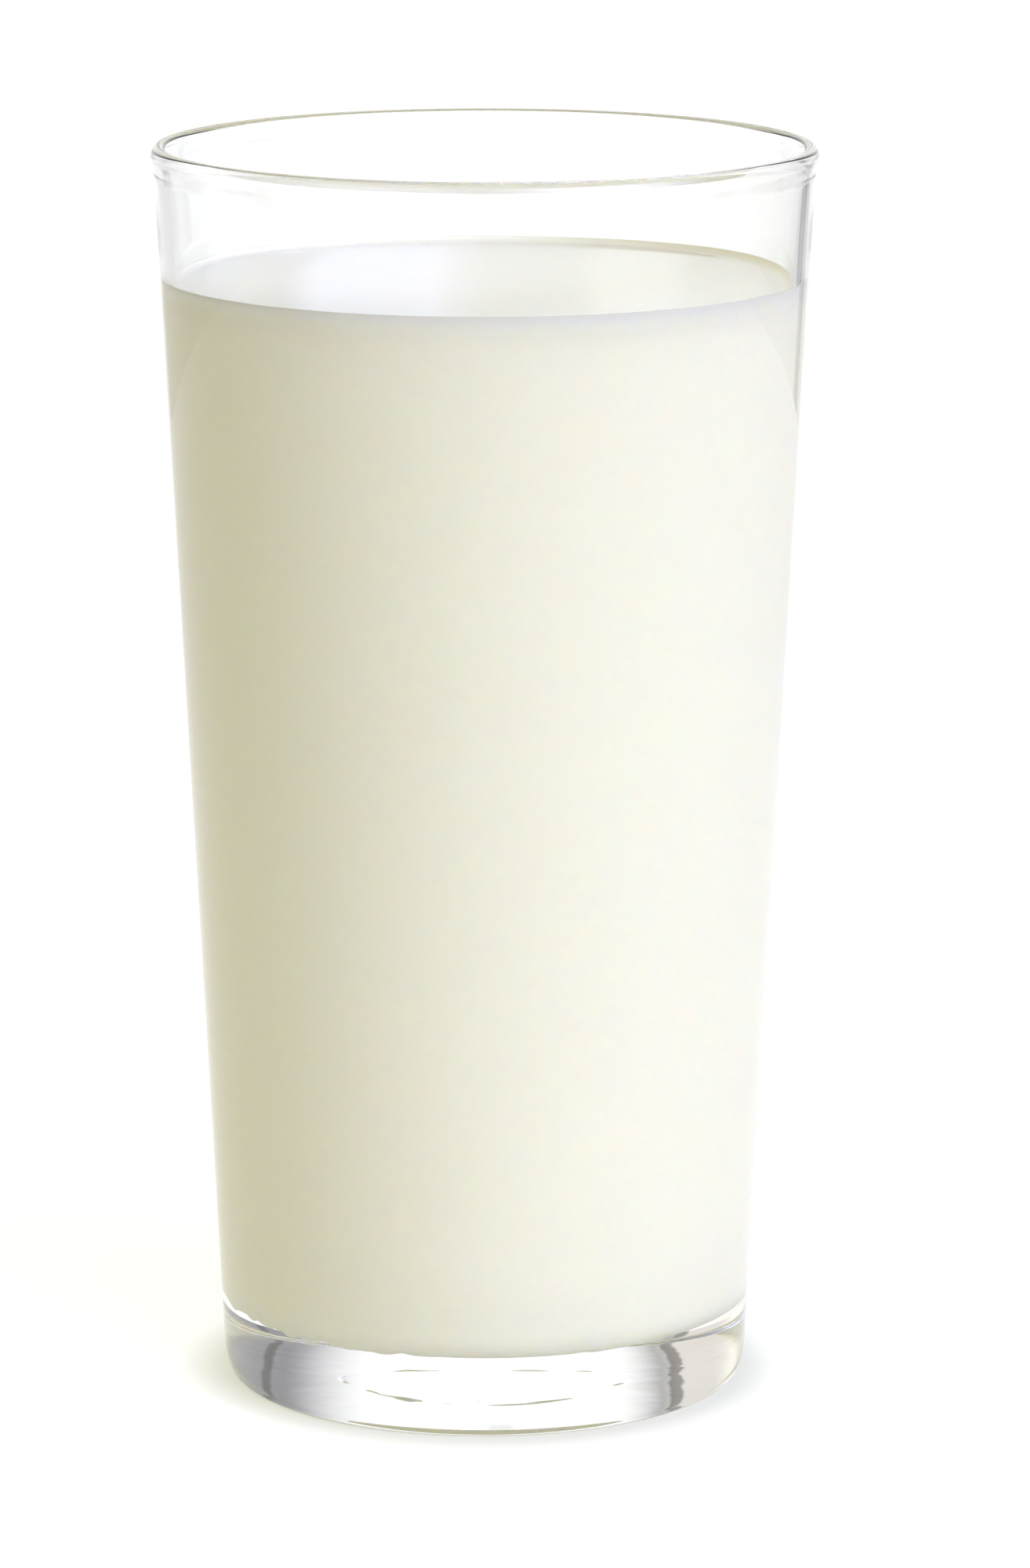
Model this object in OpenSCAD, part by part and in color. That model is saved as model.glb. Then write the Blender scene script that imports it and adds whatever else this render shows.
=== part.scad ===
// A tall tapered drinking glass with a thick clear base, filled with milk to
// just below the rim. Everything is turned about the Z axis and stands on z = 0.

/* [Tumbler outside] */
// Height from the table to the top of the rim
glass_h = 132.6; // [100:0.2:180]
// Widest diameter, across the bead round the rim
rim_d = 70; // [56:1:90]
// Diameter that the straight side would have at the table
foot_d = 56; // [44:1:70]
// How far the rim bead stands out from the straight side
bead_out = 0.25; // [0.1:0.05:0.6]
// Height of the rim bead, from its lower edge to the top of the rim
bead_h = 3.6; // [2.4:0.1:6]
// Height of the rounded lip at the top of the bead
lip_h = 1.25; // [0.8:0.05:2]
// Height over which the heel curves in under the side
heel_h = 5; // [3:0.5:8]
// How far the heel curves in
heel_in = 1.3; // [0.8:0.1:3]

/* [Tumbler inside] */
// Thickness of the wall at the rim
wall_top = 1.5; // [1.2:0.1:2.4]
// Thickness of the wall where it meets the base
wall_low = 2.4; // [1.6:0.1:4]
// Thickness of the base, from the table to the inside floor
base_t = 8.1; // [6:0.1:16]
// Radius of the round corner between the inside floor and the wall
corner_r = 3; // [1:0.5:6]

/* [Underside] */
// Width of the flat ring that the glass stands on
ring_w = 2.6; // [1.5:0.1:6]
// Height of the hollow inside the standing ring
hollow_h = 0.6; // [0.3:0.1:1.5]
// Outer diameter of the plain round mould mark
mark_d = 21; // [12:1:30]
// Width of the mould mark's groove
mark_w = 0.8; // [0.4:0.1:2]
// Depth of the mould mark's groove
mark_h = 0.15; // [0.1:0.05:0.6]

/* [Milk] */
// Depth of the free space between the milk and the top of the rim
head_room = 14.3; // [8:0.1:60]

/* [Hidden] */

// Steps round the turned solids and along a quarter of a curve
round_steps = 96;
curve_steps = 10;

lip_r = (wall_top + bead_out) / 2;
lip_z = glass_h - lip_h;
bead_z = glass_h - bead_h;
milk_z = glass_h - head_room;
foot_r = foot_d / 2;
side_r = rim_d / 2 - bead_out;
taper = (side_r - foot_r) / lip_z;
heel_r = foot_r + taper * heel_h - heel_in;
hollow_r = heel_r - ring_w;

// Radius of the straight outer side at height z
function outer_r(z) = foot_r + taper * z;

// Thickness of the wall at height z, measured level
function wall_at(z) = wall_top + (wall_low - wall_top) * (lip_z - z) / (lip_z - base_t);

// Radius of the inside at height z
function inner_r(z) = outer_r(z) - wall_at(z);

// Where the level of the milk meets the inside wall
milk_edge = [inner_r(milk_z), milk_z];

// Lean of the inside wall from upright
inner_lean = atan((inner_r(lip_z) - inner_r(base_t)) / (lip_z - base_t));

// Smooth rise from 0 to 1
function ease(s) = s * s * (3 - 2 * s);

// Quarter of an ellipse from the standing ring up to the straight side
function heel_curve() = [
    for (i = [0:curve_steps])
        let (a = 90 * i / curve_steps)
        [heel_r + heel_in * sin(a), heel_h * (1 - cos(a))]
];

// Gentle swell of the side into the rim bead
function bead_curve() = [
    for (i = [0:curve_steps])
        let (s = i / curve_steps, z = bead_z + (lip_z - bead_z) * s)
        [outer_r(z) + bead_out * ease(s), z]
];

// Fire-polished half of an ellipse over the top of the rim, from outside to inside
function lip_curve() = [
    for (i = [1:2 * curve_steps])
        let (a = 90 * i / curve_steps)
        [side_r + bead_out - lip_r + lip_r * cos(a), lip_z + lip_h * sin(a)]
];

// Centre of the round inside corner, which touches both floor and wall
corner_z = base_t + corner_r;
corner_x = inner_r(corner_z) - corner_r / cos(inner_lean);

// Round inside corner, from the wall down to the floor
function corner_curve() = [
    for (i = [0:curve_steps])
        let (a = -inner_lean - (90 - inner_lean) * i / curve_steps)
        [corner_x + corner_r * cos(a), corner_z + corner_r * sin(a)]
];

// Ring cut upwards into the underside
module mould_mark() {
    translate([0, 0, hollow_h - mark_h])
        difference() {
            cylinder(h = 2 * mark_h, d = mark_d, $fn = round_steps);
            translate([0, 0, -mark_h])
                cylinder(h = 4 * mark_h, d = mark_d - 2 * mark_w, $fn = round_steps);
        }
}

// Clear glass tumbler
module tumbler() {
    color("lightcyan")
        difference() {
            rotate_extrude($fn = round_steps)
                polygon(concat(
                    [[0, 0]],
                    heel_curve(),
                    bead_curve(),
                    lip_curve(),
                    [milk_edge],
                    corner_curve(),
                    [[0, base_t]]
                ));
            translate([0, 0, -hollow_h])
                cylinder(h = 2 * hollow_h, r = hollow_r, $fn = round_steps);
            mould_mark();
        }
}

// Milk from the inside floor of the glass to its level surface
module milk() {
    color("ivory")
        rotate_extrude($fn = round_steps)
            polygon(concat(
                [[0, base_t], [0, milk_z], milk_edge],
                corner_curve()
            ));
}

tumbler();
milk();
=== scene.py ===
"""A glass of milk: a tall tapered clear tumbler and the milk in it, on a pale studio floor.

Lengths are in metres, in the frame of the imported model: +Z is up and the glass stands on z = 0.
"""

import logging
import math
from dataclasses import dataclass
from enum import Enum
from typing import Any, Callable, Sequence

import bmesh
import bpy
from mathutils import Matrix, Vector, noise


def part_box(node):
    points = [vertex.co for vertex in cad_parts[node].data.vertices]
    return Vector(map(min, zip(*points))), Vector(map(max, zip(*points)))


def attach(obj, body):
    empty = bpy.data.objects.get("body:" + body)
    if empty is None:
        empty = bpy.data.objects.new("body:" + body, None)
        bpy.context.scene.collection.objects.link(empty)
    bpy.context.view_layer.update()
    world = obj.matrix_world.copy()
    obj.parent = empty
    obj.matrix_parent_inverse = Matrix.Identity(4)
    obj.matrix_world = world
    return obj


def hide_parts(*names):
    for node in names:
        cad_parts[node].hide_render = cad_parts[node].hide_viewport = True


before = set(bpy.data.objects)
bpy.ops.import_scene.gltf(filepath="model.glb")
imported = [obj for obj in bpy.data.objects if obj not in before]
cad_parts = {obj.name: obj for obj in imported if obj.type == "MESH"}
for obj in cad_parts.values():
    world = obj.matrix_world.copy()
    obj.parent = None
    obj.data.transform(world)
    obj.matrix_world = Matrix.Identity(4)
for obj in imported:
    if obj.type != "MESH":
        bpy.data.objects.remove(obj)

MM = 0.001
DEGREES = 180 / math.pi
SAME_PLACE = 1e-7
BODY = "root"

log = logging.getLogger("glass_of_milk")


# ---------------------------------------------------------------- shader graphs


class Signal:
    """A shader socket that takes part in Python arithmetic."""

    def __init__(self, graph: "Graph", socket: bpy.types.NodeSocket) -> None:
        """Wrap an output socket.

        Args:
            graph: the graph that the socket belongs to.
            socket: the output socket.
        """
        self.graph = graph
        self.socket = socket

    def _math(self, operation: str, *values: "Signal | float") -> "Signal":
        """One Math node on this signal and the other values.

        Args:
            operation: the Math node's operation.
            values: its inputs in order.

        Returns:
            The node's result.
        """
        inputs = dict(enumerate(values))
        return self.graph.node("ShaderNodeMath", {"operation": operation}, inputs)

    def __add__(self, other: "Signal | float") -> "Signal":
        """Sum."""
        return self._math("ADD", self, other)

    __radd__ = __add__

    def __mul__(self, other: "Signal | float") -> "Signal":
        """Product."""
        return self._math("MULTIPLY", self, other)

    __rmul__ = __mul__

    def __sub__(self, other: "Signal | float") -> "Signal":
        """Difference."""
        return self._math("SUBTRACT", self, other)

    def __rsub__(self, other: "Signal | float") -> "Signal":
        """Difference from a plain number."""
        return self._math("SUBTRACT", other, self)

    def __abs__(self) -> "Signal":
        """Size without sign."""
        return self._math("ABSOLUTE", self)

    def root(self) -> "Signal":
        """Square root."""
        return self._math("SQRT", self)

    def atan2(self, other: "Signal") -> "Signal":
        """Angle, in radians, whose sine goes with this signal and cosine with the other."""
        return self._math("ARCTAN2", self, other)

    def asin(self) -> "Signal":
        """Angle, in radians, with this sine."""
        return self._math("ARCSINE", self)

    def wrap(self, low: float, high: float) -> "Signal":
        """Value brought into a range by whole turns."""
        return self._math("WRAP", self, high, low)

    def ramp(self, start: float, end: float) -> "Signal":
        """Smooth rise between two values.

        Args:
            start: where it is 0.
            end: where it reaches 1, which may be the lower number.

        Returns:
            0 to 1.
        """
        low, high = min(start, end), max(start, end)
        rise = self.graph.node(
            "ShaderNodeMapRange",
            {"interpolation_type": "SMOOTHSTEP"},
            {"Value": self, "From Min": low, "From Max": high},
        )
        return rise if start < end else 1 - rise


class Graph:
    """A node tree that is filled by one method."""

    def __init__(self, tree: bpy.types.NodeTree) -> None:
        """Empty the tree.

        Args:
            tree: the node tree of a material or of the world.
        """
        self.tree = tree
        tree.nodes.clear()

    def node(
        self,
        kind: str,
        settings: dict[str, Any] | None = None,
        inputs: dict[str | int, Any] | None = None,
        output: str | int = 0,
    ) -> Signal:
        """Add a node.

        Args:
            kind: the node's type name.
            settings: attributes that are set first, such as an operation.
            inputs: values or signals by socket name or number.
            output: the output socket that is returned.

        Returns:
            The chosen output as a signal.
        """
        made = self.tree.nodes.new(kind)
        for name, value in (settings or {}).items():
            setattr(made, name, value)
        for key, value in (inputs or {}).items():
            if isinstance(value, Signal):
                self.tree.links.new(value.socket, made.inputs[key])
            else:
                made.inputs[key].default_value = value
        return Signal(self, made.outputs[output] if made.outputs else None)

    def colour(
        self, factor: Signal, low: Signal | Sequence[float], high: Signal | Sequence[float]
    ) -> Signal:
        """Mix two colours by a factor.

        Args:
            factor: 0 gives the low colour and 1 the high one.
            low: red, green and blue, or a colour signal.
            high: red, green and blue, or a colour signal.

        Returns:
            The mixed colour.
        """
        ends = [end if isinstance(end, Signal) else (*end, 1.0) for end in (low, high)]
        return self.node(
            "ShaderNodeMix", {"data_type": "RGBA"}, {"Factor": factor, 6: ends[0], 7: ends[1]}, 2
        )

    def parts(self, vector: Signal) -> tuple[Signal, Signal, Signal]:
        """Split a vector.

        Args:
            vector: the vector.

        Returns:
            Its X, Y and Z.
        """
        split = self.node("ShaderNodeSeparateXYZ", inputs={0: vector}).socket.node
        return tuple(Signal(self, socket) for socket in split.outputs)

    def scaled(self, vector: Signal | Sequence[float], size: Signal) -> Signal:
        """Multiply a vector or colour by a number.

        Args:
            vector: the vector.
            size: the number.

        Returns:
            The product.
        """
        return self.node(
            "ShaderNodeVectorMath", {"operation": "SCALE"}, {0: vector, "Scale": size}
        )

    def object_place(self) -> Signal:
        """Position on the piece, in metres."""
        return self.node("ShaderNodeTexCoord", output="Object")

    def ripple(self, scale: float, stretch: Sequence[float] = (1, 1, 1)) -> Signal:
        """Soft noise on the piece.

        Args:
            scale: cells to the metre.
            stretch: how much faster it changes along each axis.

        Returns:
            Noise from 0 to 1.
        """
        place = self.node(
            "ShaderNodeMapping", inputs={"Vector": self.object_place(), "Scale": stretch}
        )
        return self.node(
            "ShaderNodeTexNoise", inputs={"Vector": place, "Scale": scale, "Detail": 2.0}
        )

    def bump(self, height: Signal, depth: float) -> Signal:
        """Turn a height into a normal.

        Args:
            height: 0 to 1.
            depth: height of 1, in metres.

        Returns:
            The bent normal.
        """
        return self.node(
            "ShaderNodeBump", inputs={"Height": height, "Distance": depth, "Strength": 1.0}
        )


# ---------------------------------------------------------------- finishes


def new_material(name: str) -> tuple[bpy.types.Material, Graph]:
    """Make an empty node material.

    Args:
        name: the material's name.

    Returns:
        The material and its graph.
    """
    material = bpy.data.materials.new(name)
    material.use_nodes = True
    return material, Graph(material.node_tree)


@dataclass(frozen=True)
class ClearGlass:
    """Colourless pressed glass with faint mould waviness in its skin."""

    tint: tuple[float, float, float] = (0.985, 0.992, 0.98)
    bend: float = 1.5
    wave_cells: float = 60.0
    wave_stretch: tuple[float, float, float] = (1.0, 1.0, 0.5)
    wave_depth: float = 0.010 * MM

    def build(self) -> bpy.types.Material:
        """Make the node material.

        Returns:
            The material.
        """
        material, graph = new_material("clear_glass")
        wave = graph.ripple(self.wave_cells, self.wave_stretch)
        surface = graph.node(
            "ShaderNodeBsdfPrincipled",
            inputs={
                "Base Color": (*self.tint, 1.0),
                "Roughness": 0.0,
                "IOR": self.bend,
                "Transmission Weight": 1.0,
                "Normal": graph.bump(wave, self.wave_depth),
            },
        )
        graph.node("ShaderNodeOutputMaterial", inputs={"Surface": surface})
        return material


class MilkFace(Enum):
    """A side of the milk: its name, specular level and roughness."""

    AGAINST_GLASS = ("milk_against_glass", 0.0, 0.6)
    OPEN_SURFACE = ("milk_surface", 0.5, 0.05)


@dataclass(frozen=True)
class MilkBody:
    """Creamy milk whose light soaks in, redder light the deepest, painted paler at its level where light
    shines through the thin meniscus.
    """

    shade: tuple[float, float, float] = (0.93, 0.895, 0.675)
    soak: tuple[float, float, float] = (1.0, 0.8, 0.5)
    soak_depth: float = 2.0 * MM
    bend: float = 1.345
    cream_cells: float = 35.0
    cream_lift: float = 1.01
    # Painted light: the pale colour at the milk's level stands for light shining through the thin
    # meniscus at the wall.
    painted_bright_film: tuple[float, float, float] = (0.99, 0.975, 0.75)
    film_height: float = 0.3 * MM

    def build(self, side: MilkFace, level: float) -> bpy.types.Material:
        """Make the node material.

        Args:
            side: the side of the milk, which is dull where it wets the glass.
            level: height of the milk's level: just under it the colour turns paler and above it is a pale
                layer, both painted light that stands for light shining through the thin meniscus.

        Returns:
            The material.
        """
        name, gloss, roughness = side.value
        material, graph = new_material(name)
        cream = graph.ripple(self.cream_cells)
        paler = tuple(self.cream_lift * part for part in self.shade)
        height = graph.parts(graph.object_place())[2]
        # Painted light: the colour turns paler over the last few millimetres under the level.
        painted_lift_share = height.ramp(level - self.soak_depth, level)
        body = graph.node(
            "ShaderNodeBsdfPrincipled",
            inputs={
                "Base Color": graph.colour(
                    painted_lift_share, graph.colour(cream, self.shade, paler), self.painted_bright_film
                ),
                "Roughness": roughness,
                "IOR": self.bend,
                "Specular IOR Level": gloss,
                "Subsurface Weight": 1.0,
                "Subsurface Radius": self.soak,
                "Subsurface Scale": self.soak_depth,
            },
        )
        # Painted light: above the level the milk is a pale diffuse layer.
        painted_bright_film = graph.node("ShaderNodeBsdfDiffuse", inputs={"Color": (*self.painted_bright_film, 1.0)})
        thin = height.ramp(level, level + self.film_height)
        surface = graph.node("ShaderNodeMixShader", inputs={0: thin, 1: body, 2: painted_bright_film})
        graph.node("ShaderNodeOutputMaterial", inputs={"Surface": surface})
        return material


@dataclass(frozen=True)
class PaleFloor:
    """White table that glows with painted light: least by the glass, where the dimmer emission is a
    painted contact shadow, and dimmer far out to the sides, painted shade, except in the beam behind it.
    """

    shade: tuple[float, float, float] = (0.40, 0.40, 0.38)
    # Painted shadow: the dim emission right round the glass stands for its contact shadow.
    painted_shadow_glow: tuple[float, float, float] = (0.47, 0.48, 0.42)
    open_glow: tuple[float, float, float] = (0.75, 0.75, 0.73)
    # Painted shade: a dimmer emission far out to the sides, outside the beam behind the glass.
    painted_side_shade: tuple[float, float, float] = (0.58, 0.58, 0.58)
    painted_shadow_radii: tuple[float, float] = (27 * MM, 34.5 * MM)
    far: tuple[float, float] = (150 * MM, 480 * MM)
    beam: tuple[float, float] = (21.0, 12.0)
    roughness: float = 0.7
    cloud_cells: float = 12.0
    cloud_lift: float = 0.01

    def build(self) -> bpy.types.Material:
        """Make the node material.

        Returns:
            The material.
        """
        material, graph = new_material("pale_floor")
        paler = tuple(part + self.cloud_lift for part in self.shade)
        x, y, _ = graph.parts(graph.object_place())
        away = (x * x + y * y).root()
        behind = abs(x.atan2(y) * DEGREES).ramp(*self.beam)
        # Painted contact shadow: the emission rises from the dim colour at the glass to the open colour a
        # few millimetres out.
        painted_shadow_glow = graph.colour(away.ramp(*self.painted_shadow_radii), self.painted_shadow_glow, self.open_glow)
        # Painted shade: the emission dims between the far radii, except in the beam behind the glass.
        painted_side_shade_mask = away.ramp(*self.far) * (1 - behind)
        surface = graph.node(
            "ShaderNodeBsdfPrincipled",
            inputs={
                "Base Color": graph.colour(graph.ripple(self.cloud_cells), self.shade, paler),
                "Roughness": self.roughness,
                "Specular IOR Level": 0.0,
                "Emission Color": graph.colour(painted_side_shade_mask, painted_shadow_glow, self.painted_side_shade),
                "Emission Strength": 1.0,
            },
        )
        graph.node("ShaderNodeOutputMaterial", inputs={"Surface": surface})
        return material


# ---------------------------------------------------------------- turned shapes


class Outline:
    """Half section of a turned shape, as radius and height pairs."""

    def __init__(self) -> None:
        """Start with no points."""
        self.points: list[tuple[float, float]] = []

    def to(self, radius: float, height: float, steps: int = 1) -> "Outline":
        """Run straight to a point.

        Args:
            radius: distance from the axis.
            height: height above the table.
            steps: points along the way.

        Returns:
            The outline, to go on from.
        """
        if not self.points:
            self.points.append((radius, height))
            return self
        r0, z0 = self.points[-1]
        for step in range(1, steps + 1):
            share = step / steps
            self.points.append((r0 + (radius - r0) * share, z0 + (height - z0) * share))
        return self

    def follow(self, curve: Callable[[float], tuple[float, float]], steps: int) -> "Outline":
        """Run along a curve from its start to its end.

        Args:
            curve: gives radius and height for a share from 0 to 1.
            steps: points after the first.

        Returns:
            The outline, to go on from.
        """
        for step in range(steps + 1):
            point = curve(step / steps)
            if not self.points or math.dist(point, self.points[-1]) > SAME_PLACE:
                self.points.append(point)
        return self

    def arc(
        self, centre: tuple[float, float], radius: float, start: float, end: float, steps: int
    ) -> "Outline":
        """Run along part of a circle.

        Args:
            centre: radius and height of its centre.
            radius: its radius.
            start: first angle in degrees, from outwards and up.
            end: last angle in degrees.
            steps: points after the first.

        Returns:
            The outline, to go on from.
        """

        def point(share: float) -> tuple[float, float]:
            """Place on the arc."""
            angle = math.radians(start + (end - start) * share)
            return centre[0] + radius * math.cos(angle), centre[1] + radius * math.sin(angle)

        return self.follow(point, steps)


def turned_piece(
    name: str, outline: Outline, steps: int, uneven: Callable[[Vector], Vector]
) -> bpy.types.Object:
    """Spin an outline about the Z axis into a closed smooth mesh.

    Args:
        name: the piece's name.
        outline: half section from the axis round to the axis.
        steps: faces round the turn.
        uneven: gives a point's place with the unevenness of the real thing.

    Returns:
        The object, at the origin.
    """
    work = bmesh.new()
    ring = [work.verts.new((radius, 0.0, height)) for radius, height in outline.points]
    chain = [work.edges.new(pair) for pair in zip(ring, ring[1:])]
    bmesh.ops.spin(
        work,
        geom=ring + chain,
        cent=(0, 0, 0),
        axis=(0, 0, 1),
        angle=math.tau,
        steps=steps,
        use_merge=True,
        use_duplicate=False,
    )
    bmesh.ops.remove_doubles(work, verts=work.verts, dist=SAME_PLACE)
    for vert in work.verts:
        vert.co = uneven(vert.co)
    bmesh.ops.recalc_face_normals(work, faces=work.faces)
    for face in work.faces:
        face.smooth = True
    mesh = bpy.data.meshes.new(name)
    work.to_mesh(mesh)
    work.free()
    piece = bpy.data.objects.new(name, mesh)
    bpy.context.scene.collection.objects.link(piece)
    return piece


def ease(share: float) -> float:
    """Smooth rise from 0 to 1."""
    return share * share * (3 - 2 * share)


def clamp(value: float) -> float:
    """Value kept between 0 and 1."""
    return min(1.0, max(0.0, value))


# ---------------------------------------------------------------- the glass


@dataclass
class Tumbler:
    """The clear glass, turned about its axis."""

    height: float
    rim_radius: float
    floor_z: float
    milk_z: float
    milk_radius: float
    foot_radius: float = 28.0 * MM
    bead_out: float = 0.25 * MM
    bead_height: float = 3.6 * MM
    lip_height: float = 1.25 * MM
    heel_height: float = 5.0 * MM
    heel_in: float = 1.3 * MM
    wall_top: float = 1.5 * MM
    corner: float = 3.0 * MM
    ring_width: float = 2.6 * MM
    hollow: float = 0.6 * MM
    mark_radius: float = 10.1 * MM
    mark_width: float = 0.8 * MM
    mark_depth: float = 0.15 * MM
    wrinkle: float = 0.03 * MM
    wrinkle_size: float = 3.0 * MM
    pucker: float = 0.6 * MM
    pucker_size: float = 1.5 * MM
    pucker_spread: float = 18.0 * MM
    pucker_band: float = 6.0 * MM
    pucker_fade: float = 4.5 * MM
    pucker_top: float = 1.2
    pucker_bias: float = 0.5
    groove_patch: float = 3.0 * MM
    groove_least: float = 0.05
    groove_swing: float = 1.2
    calm_width: float = 2.0 * MM
    fine_share: float = 0.4
    fine_rate: float = 2.7
    wrinkle_from: tuple[float, float, float] = (7.0, 3.0, 0.0)
    steps: int = 320

    def __post_init__(self) -> None:
        """Work out the slopes that the other sizes give."""
        self.lip = (self.wall_top + self.bead_out) / 2
        self.lip_z = self.height - self.lip_height
        self.side_radius = self.rim_radius - self.bead_out
        self.taper = (self.side_radius - self.foot_radius) / self.lip_z
        mouth = self.side_radius - self.wall_top
        self.inner_taper = (mouth - self.milk_radius) / (self.lip_z - self.milk_z)
        self.lean = math.degrees(math.atan(self.inner_taper))

    def outer(self, z: float) -> float:
        """Radius of the straight outside at a height."""
        return self.foot_radius + self.taper * z

    def inner(self, z: float) -> float:
        """Radius of the inside wall at a height."""
        return self.milk_radius + self.inner_taper * (z - self.milk_z)

    def heel(self, share: float) -> tuple[float, float]:
        """Quarter of an ellipse from the standing ring up to the side.

        Args:
            share: 0 at the ring and 1 at the side.

        Returns:
            Radius and height.
        """
        angle = share * math.pi / 2
        foot = self.outer(self.heel_height) - self.heel_in
        return foot + self.heel_in * math.sin(angle), self.heel_height * (1 - math.cos(angle))

    def bead(self, share: float) -> tuple[float, float]:
        """Gentle swell of the side into the rim bead."""
        z = self.height - self.bead_height + (self.bead_height - self.lip_height) * share
        return self.outer(z) + self.bead_out * ease(share), z

    def rounded_lip(self, share: float) -> tuple[float, float]:
        """Half of an ellipse over the top of the rim.

        Args:
            share: 0 outside and 1 inside.

        Returns:
            Radius and height.
        """
        angle = share * math.pi
        middle = self.rim_radius - self.lip
        return middle + self.lip * math.cos(angle), self.lip_z + self.lip_height * math.sin(angle)

    def corner_centre(self) -> tuple[float, float]:
        """Centre of the round inside corner."""
        z = self.floor_z + self.corner
        return self.inner(z) - self.corner / math.cos(math.radians(self.lean)), z

    def section(self) -> Outline:
        """Draw the glass's half section.

        Returns:
            Outline from the middle of the underside to the middle of the inside floor.
        """
        foot = self.outer(self.heel_height) - self.heel_in
        edge = self.underside_edge()
        rise = 2 * self.hollow
        mark = self.mark_radius
        half = self.mark_width / 2
        line = Outline()
        line.to(0, self.hollow)
        line.to(mark - half, self.hollow, steps=20)
        line.follow(
            lambda s: (
                mark - half + 2 * half * s,
                self.hollow + self.mark_depth * math.sin(math.pi * s) ** 2,
            ),
            steps=12,
        )
        line.to(edge, self.hollow, steps=24)
        line.follow(lambda s: (edge + rise * s, self.hollow * (1 - ease(s))), steps=12)
        line.to(foot, 0, steps=4)
        line.follow(self.heel, steps=24)
        line.to(self.outer(self.height - self.bead_height), self.height - self.bead_height, steps=24)
        line.follow(self.bead, steps=12)
        line.follow(self.rounded_lip, steps=24)
        line.to(self.inner(self.floor_z + self.corner), self.floor_z + self.corner, steps=24)
        line.points.pop()
        line.arc(self.corner_centre(), self.corner, -self.lean, -90, steps=14)
        line.to(self.corner_centre()[0] - self.pucker_band, self.floor_z, steps=20)
        line.to(0, self.floor_z, steps=6)
        return line

    def pucker_lift(self, place: Vector) -> float:
        """Work out how far the puckers round the inside corner lift a point there.

        Args:
            place: the point on the smooth shape.

        Returns:
            The lift in metres, 0 away from the corner.
        """
        away = math.hypot(place.x, place.y) - self.corner_centre()[0]
        above = place.z - self.floor_z
        across = ease(clamp(1 + away / self.pucker_fade))
        up = ease(clamp(self.pucker_top - above / self.corner))
        here = clamp(self.pucker_bias + noise.noise(place / self.pucker_spread))
        return self.pucker * across * up * here * noise.noise(place / self.pucker_size)

    def underside_edge(self) -> float:
        """Radius of the level part of the hollow under the base."""
        return self.outer(self.heel_height) - self.heel_in - self.ring_width - 2 * self.hollow

    def uneven(self, place: Vector) -> Vector:
        """Place of a point with the wrinkles that pressing leaves in the base.

        Args:
            place: the point on the smooth shape.

        Returns:
            Its real place.
        """
        if place.z > self.floor_z / 2:
            return place + Vector((0, 0, self.pucker_lift(place)))
        radius = math.hypot(place.x, place.y)
        edge = self.underside_edge()
        if radius > edge or place.z > self.hollow + 2 * self.mark_depth:
            return place
        groove = place.z - self.hollow
        patch = noise.noise(place / self.groove_patch)
        share = clamp(self.groove_least + self.groove_swing * patch)
        calm = ease(clamp((edge - radius) / self.calm_width))
        spot = place / self.wrinkle_size + Vector(self.wrinkle_from)
        fine = self.fine_share * noise.noise(self.fine_rate * spot)
        wave = self.wrinkle * calm * (noise.noise(spot) + fine)
        return Vector((place.x, place.y, self.hollow + groove * share + wave))

    def build(self, finish: ClearGlass) -> bpy.types.Object:
        """Make the glass and dress it.

        Args:
            finish: its material.

        Returns:
            The piece.
        """
        piece = turned_piece("tumbler_glass", self.section(), self.steps, self.uneven)
        piece.data.materials.append(finish.build())
        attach(piece, BODY)
        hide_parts("tumbler")
        return piece


# ---------------------------------------------------------------- the milk


@dataclass
class Milk:
    """The milk, which reaches just into the wall of the glass."""

    glass: Tumbler
    sunk: float = 0.06 * MM
    climb: float = 0.6 * MM
    reach: float = 0.6 * MM
    curve_width: float = 4.8 * MM
    least_rise: float = 0.1
    steps: int = 320

    def surface(self, share: float) -> tuple[float, float]:
        """Curve of the level surface up to the wall.

        Args:
            share: 0 at the wall and 1 where the surface is level.

        Returns:
            Radius and height.
        """
        edge = self.glass.inner(self.glass.milk_z) + self.sunk
        away = self.curve_width * share * share
        return edge - away, self.glass.milk_z + self.climb * math.exp(-away / self.reach)

    def section(self) -> Outline:
        """Draw the milk's half section.

        Returns:
            Outline from the middle of the inside floor to the middle of the surface.
        """
        glass = self.glass
        centre = glass.corner_centre()
        line = Outline()
        line.to(0, glass.floor_z - self.sunk)
        line.to(centre[0] - glass.pucker_band, glass.floor_z - self.sunk, steps=6)
        line.to(centre[0], glass.floor_z - self.sunk, steps=20)
        line.arc(centre, glass.corner + self.sunk, -90, -glass.lean, steps=14)
        top = glass.milk_z + self.climb
        line.to(glass.inner(top) + self.sunk, top, steps=24)
        line.follow(self.surface, steps=24)
        line.to(0, self.surface(1)[1], steps=12)
        return line

    def uneven(self, place: Vector) -> Vector:
        """Place of a point with the puckers of the glass that it lies against."""
        return place + Vector((0, 0, self.glass.pucker_lift(place)))

    def build(self, finish: MilkBody) -> bpy.types.Object:
        """Make the milk and dress it.

        Args:
            finish: its material.

        Returns:
            The piece.
        """
        piece = turned_piece("milk_fill", self.section(), self.steps, self.uneven)
        level = self.glass.milk_z
        for side in MilkFace:
            piece.data.materials.append(finish.build(side, level))
        open_side = list(MilkFace).index(MilkFace.OPEN_SURFACE)
        for face in piece.data.polygons:
            if face.center.z > level - self.sunk and face.normal.z > self.least_rise:
                face.material_index = open_side
        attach(piece, BODY)
        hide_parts("milk")
        return piece


# ---------------------------------------------------------------- the studio


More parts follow.
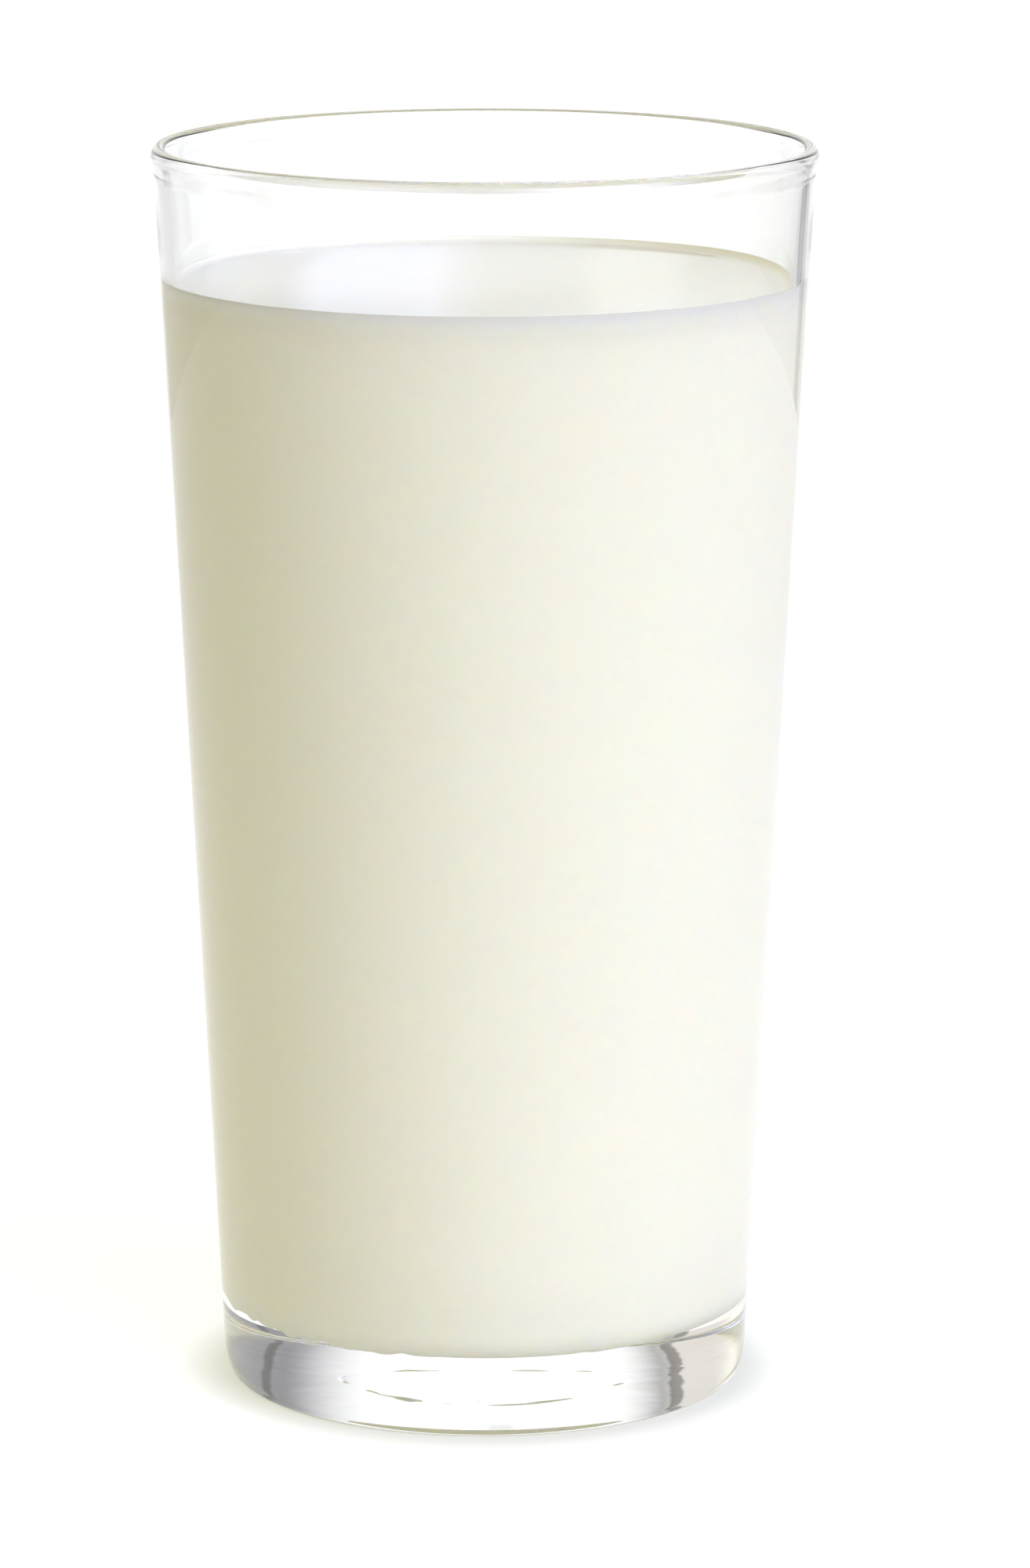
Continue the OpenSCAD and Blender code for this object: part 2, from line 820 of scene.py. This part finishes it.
@dataclass(frozen=True)
class SoftPanel:
    """A soft patch of light in the surround.

    The compass angles are in degrees: 0 is the camera's side, 90 its right and 180 the far side.
    """

    start: float
    start_fade: float
    end: float
    end_fade: float
    high: float
    light: float
    hue: tuple[float, float, float] = (1.0, 1.0, 1.0)
    low: float = -90.0
    height_fade: float = 8.0

    def share(self, turn: Signal, rise: Signal) -> Signal:
        """Share of the panel's light in a direction.

        Args:
            turn: compass angle in degrees.
            rise: angle above the table in degrees.

        Returns:
            0 outside the panel and 1 inside it.
        """
        middle = (self.start + self.end) / 2
        off = (turn - middle).wrap(-180, 180)
        before = self.start - middle
        after = self.end - middle
        across = off.ramp(before - self.start_fade, before + self.start_fade) * off.ramp(
            after + self.end_fade, after - self.end_fade
        )
        below = rise.ramp(self.high + self.height_fade, self.high - self.height_fade)
        above = rise.ramp(self.low - self.height_fade, self.low + self.height_fade)
        return across * below * above


@dataclass(frozen=True)
class Surround:
    """The room round the table: soft panels and thin dark flags in a dim room."""

    white: float = 1.1
    horizon: tuple[float, float] = (-2.0, 0.0)
    dim: tuple[float, float, float] = (0.06, 0.06, 0.065)
    panels: tuple[SoftPanel, ...] = (
        SoftPanel(153, 13, 210, 9, high=55, light=1.0),
        SoftPanel(176.4, 0.4, 178.4, 0.4, high=10, light=0.18, height_fade=3),
        SoftPanel(108, 14, 160, 12, high=55, light=0.20, hue=(0.97, 0.96, 1.08)),
        SoftPanel(214, 3, 252, 8, high=50, light=0.70, hue=(1.05, 0.98, 0.92)),
        SoftPanel(18, 22, 70, 20, high=36, light=7.1, hue=(0.98, 1.015, 1.60)),
        SoftPanel(252, 16, 332, 24, high=75, light=0.54, hue=(1.17, 0.96, 0.29), low=14),
        SoftPanel(240, 10, 330, 20, high=16, light=0.60, hue=(1.0, 0.98, 0.88)),
        SoftPanel(0, 0.1, 360, 0.1, high=90, light=0.38, low=30),
    )
    flags: tuple[SoftPanel, ...] = (
        SoftPanel(180.6, 0.6, 184.0, 0.8, high=10, light=0.14, height_fade=3),
        SoftPanel(213.8, 0.8, 217.8, 0.8, high=90, light=0.66),
        SoftPanel(132.4, 1.0, 136.4, 1.0, high=90, light=0.6),
    )
    ground: tuple[SoftPanel, ...] = (
        SoftPanel(164, 4, 196, 4, high=90, light=0.30),
        SoftPanel(0, 0.1, 360, 0.1, high=90, light=0.74),
    )
    lines: tuple[SoftPanel, ...] = (SoftPanel(150, 1.5, 157, 1.5, high=90, light=0.6),)

    def light(
        self,
        graph: Graph,
        turn: Signal,
        rise: Signal,
        panels: Sequence[SoftPanel],
        flags: Sequence[SoftPanel],
    ) -> Signal:
        """Add up panels and darken the sum behind the flags.

        Args:
            graph: the world's graph.
            turn: compass angle in degrees.
            rise: angle above the table in degrees.
            panels: the patches of light.
            flags: the dark strips in front of them.

        Returns:
            The colour of the light in a direction.
        """
        total = graph.node("ShaderNodeCombineXYZ", inputs=dict(enumerate(self.dim)))
        for panel in panels:
            part = graph.scaled(panel.hue, panel.share(turn, rise) * panel.light)
            total = graph.node("ShaderNodeVectorMath", {"operation": "ADD"}, {0: total, 1: part})
        for flag in flags:
            total = graph.scaled(total, 1 - flag.share(turn, rise) * flag.light)
        return total

    def build(self) -> bpy.types.World:
        """Make the world, which the camera itself sees as plain white.

        Returns:
            The world.
        """
        world = bpy.data.worlds.new("studio")
        world.use_nodes = True
        graph = Graph(world.node_tree)
        x, y, z = graph.parts(graph.node("ShaderNodeTexCoord", output="Generated"))
        turn = x.atan2(-1 * y) * DEGREES
        rise = z.asin() * DEGREES
        above = self.light(graph, turn, rise, self.panels, self.flags)
        below = self.light(graph, turn, rise, self.ground, self.lines)
        total = graph.colour(rise.ramp(*self.horizon), below, above)
        room = graph.node("ShaderNodeBackground", inputs={"Color": total, "Strength": 1.0})
        plain = graph.node("ShaderNodeBackground", inputs={"Color": (1, 1, 1, 1), "Strength": self.white})
        seen = graph.node("ShaderNodeLightPath", output="Is Camera Ray")
        both = graph.node("ShaderNodeMixShader", inputs={0: seen, 1: room, 2: plain})
        graph.node("ShaderNodeOutputWorld", inputs={"Surface": both})
        return world


@dataclass
class Studio:
    """Floor, camera and how often light may bounce."""

    floor_radius: float = 0.62
    floor_steps: int = 96
    floor_drop: float = 0.02 * MM
    lens: float = 156.9
    shift: tuple[float, float] = (0.0193, -0.0128)
    distance: float = 728.5 * MM
    tilt: float = 11.63
    clear: float = 10.0 * MM
    bounces: int = 20
    gloss_bounces: int = 12

    def floor(self) -> bpy.types.Object:
        """Make the floor, a disc just under the glass.

        Returns:
            The floor.
        """
        work = bmesh.new()
        bmesh.ops.create_circle(work, cap_ends=True, segments=self.floor_steps, radius=self.floor_radius)
        bmesh.ops.translate(work, verts=work.verts, vec=(0, 0, -self.floor_drop))
        mesh = bpy.data.meshes.new("floor")
        work.to_mesh(mesh)
        work.free()
        piece = bpy.data.objects.new("floor", mesh)
        bpy.context.scene.collection.objects.link(piece)
        mesh.materials.append(PaleFloor().build())
        return piece

    def camera(self, height: float) -> bpy.types.Object:
        """Aim the camera at the middle of the glass.

        Args:
            height: height of the glass.

        Returns:
            The camera.
        """
        lens = bpy.data.cameras.new("camera")
        lens.lens = self.lens
        lens.shift_x, lens.shift_y = self.shift
        lens.clip_start = self.clear
        camera = bpy.data.objects.new("camera", lens)
        bpy.context.scene.collection.objects.link(camera)
        tilt = math.radians(self.tilt)
        middle = Vector((0, 0, height / 2))
        camera.location = middle + Vector((0, -math.cos(tilt), math.sin(tilt))) * self.distance
        camera.rotation_euler = (math.pi / 2 - tilt, 0, 0)
        bpy.context.scene.camera = camera
        return camera


def main() -> None:
    """Build the floor, the camera, the glass and the milk, and note both boxes."""
    logging.basicConfig(level=logging.INFO, format="%(message)s")
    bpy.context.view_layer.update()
    studio = Studio()
    _, tumbler_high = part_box("tumbler")
    milk_low, milk_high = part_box("milk")
    studio.camera(tumbler_high.z)
    studio.floor()
    bpy.context.scene.world = Surround().build()
    glass = Tumbler(
        height=tumbler_high.z,
        rim_radius=tumbler_high.x,
        floor_z=milk_low.z,
        milk_z=milk_high.z,
        milk_radius=milk_high.x,
    )
    for piece in (glass.build(ClearGlass()), Milk(glass).build(MilkBody())):
        log.info("%s: %d faces", piece.name, len(piece.data.polygons))
    scene = bpy.context.scene
    scene.view_settings.view_transform = "Standard"
    scene.cycles.max_bounces = studio.bounces
    scene.cycles.glossy_bounces = studio.gloss_bounces


if __name__ == "__main__":
    main()
